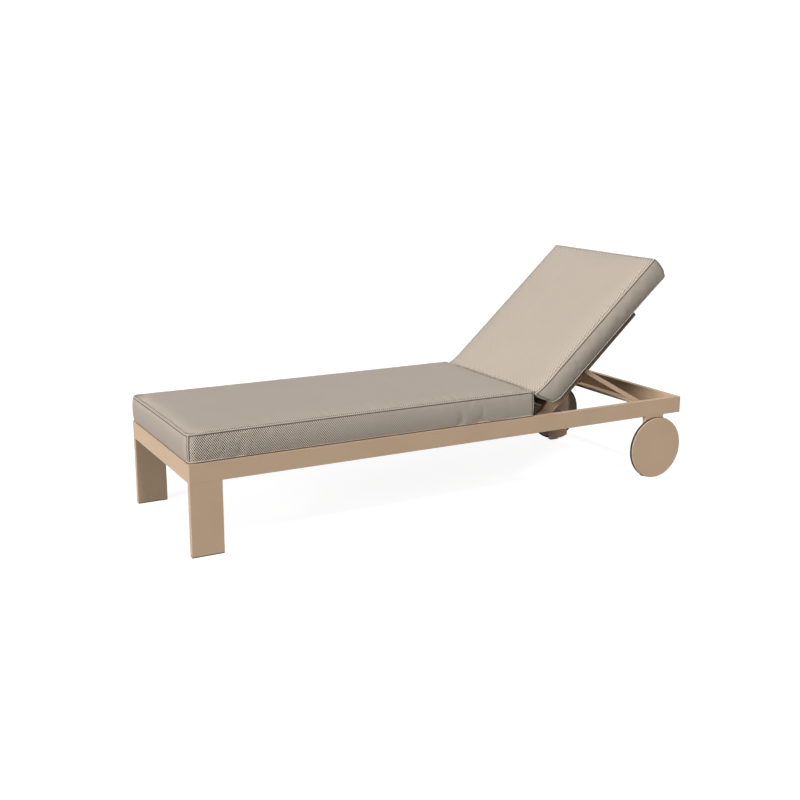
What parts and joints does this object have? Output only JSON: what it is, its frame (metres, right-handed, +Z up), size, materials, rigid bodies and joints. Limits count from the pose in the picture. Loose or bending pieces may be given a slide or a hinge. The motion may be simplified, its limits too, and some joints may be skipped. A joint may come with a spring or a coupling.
{
  "type": "chaise longue",
  "caption": "Wheeled sun lounger: flat aluminium frame on plate legs and disc wheels, slatted deck, back hinged on a notched prop, folding box mattress in woven cloth.",
  "frame": {"origin": "on the floor under the middle of the frame", "axes": "+X from the foot end to the head end, +Y to the right of a person lying on it, +Z up"},
  "size_m": [2, 0.6666, 0.8494],
  "materials": {
    "powder_coat": "satin",
    "wheel_core_coat": "satin",
    "bare_aluminium": "satin",
    "stainless_steel": "satin",
    "moulded_nylon": "matte",
    "tyre_rubber": "matte",
    "buffer_rubber": "matte",
    "mattress_cloth": "matte"
  },
  "bodies": {
    "frame": {"side_rail_left": "powder_coat", "side_rail_right": "powder_coat", "foot_rail": "powder_coat", "head_rail": "powder_coat", "corner_keys": "bare_aluminium", "front_leg_left": "powder_coat", "front_leg_right": "powder_coat", "foot_glide_left": "moulded_nylon", "foot_glide_right": "moulded_nylon", "rear_leg_left": "powder_coat", "rear_leg_right": "powder_coat", "rear_leg_cap_left": "moulded_nylon", "rear_leg_cap_right": "moulded_nylon", "axle_bolt_left": "stainless_steel", "axle_bolt_right": "stainless_steel", "axle_sleeves": "stainless_steel", "axle_washers": "stainless_steel", "axle_nuts": "stainless_steel", "wheel_spacers": "stainless_steel", "slat_ledge_left": "powder_coat", "slat_ledge_right": "powder_coat", "seat_slats": "powder_coat", "slat_screws": "stainless_steel", "ledge_screws": "stainless_steel", "hinge_boss_left": "bare_aluminium", "hinge_boss_right": "bare_aluminium", "boss_screws": "stainless_steel", "hinge_washers": "moulded_nylon", "hinge_caps": "stainless_steel", "prop_rack_left": "moulded_nylon", "prop_rack_right": "moulded_nylon", "rack_screws": "stainless_steel", "back_stop_left": "buffer_rubber", "back_stop_right": "buffer_rubber", "stop_screws": "stainless_steel", "seat_cushion": "mattress_cloth"},
    "backrest": {"back_bar_left": "powder_coat", "back_bar_right": "powder_coat", "bar_caps": "moulded_nylon", "hinge_bushes": "moulded_nylon", "back_slats": "powder_coat", "prop_spacers": "stainless_steel", "prop_bolts": "powder_coat", "prop_nuts": "stainless_steel"},
    "prop": {"prop_arm_left": "powder_coat", "prop_arm_right": "powder_coat", "prop_rod": "powder_coat"},
    "back_cushion": {"back_cushion": "mattress_cloth"},
    "wheel_left": {"wheel_core_left": "wheel_core_coat", "wheel_cover_left": "powder_coat", "tyre_left": "tyre_rubber", "wheel_bush_left": "moulded_nylon", "cover_screws_left": "stainless_steel"},
    "wheel_right": {"wheel_core_right": "wheel_core_coat", "wheel_cover_right": "powder_coat", "tyre_right": "tyre_rubber", "wheel_bush_right": "moulded_nylon", "cover_screws_right": "stainless_steel"}
  },
  "joints": [
    {"name": "backrest_tilt", "type": "hinge", "parent": "frame", "child": "backrest", "pos_m": [0.35951, 0, 0.28], "axis": [0, -1, 0], "range_deg": [-42, 0]},
    {"name": "prop_swing", "type": "hinge", "parent": "backrest", "child": "prop", "pos_m": [0.54738, 0, 0.44647], "axis": [0, -1, 0], "range_deg": [0, 70.7]},
    {"name": "cushion_fold", "type": "hinge", "parent": "frame", "child": "back_cushion", "pos_m": [0.31702, 0, 0.3907], "axis": [0, -1, 0], "range_deg": [-42, 0]},
    {"name": "wheel_left_spin", "type": "hinge", "parent": "frame", "child": "wheel_left", "pos_m": [0.87, 0, 0.12], "axis": [0, 1, 0], "continuous": true},
    {"name": "wheel_right_spin", "type": "hinge", "parent": "frame", "child": "wheel_right", "pos_m": [0.87, 0, 0.12], "axis": [0, 1, 0], "continuous": true}
  ],
  "couplings": [
    {"joint": "prop_swing", "follows": "backrest_tilt", "ratio": -1.6822},
    {"joint": "cushion_fold", "follows": "backrest_tilt", "ratio": 1}
  ]
}
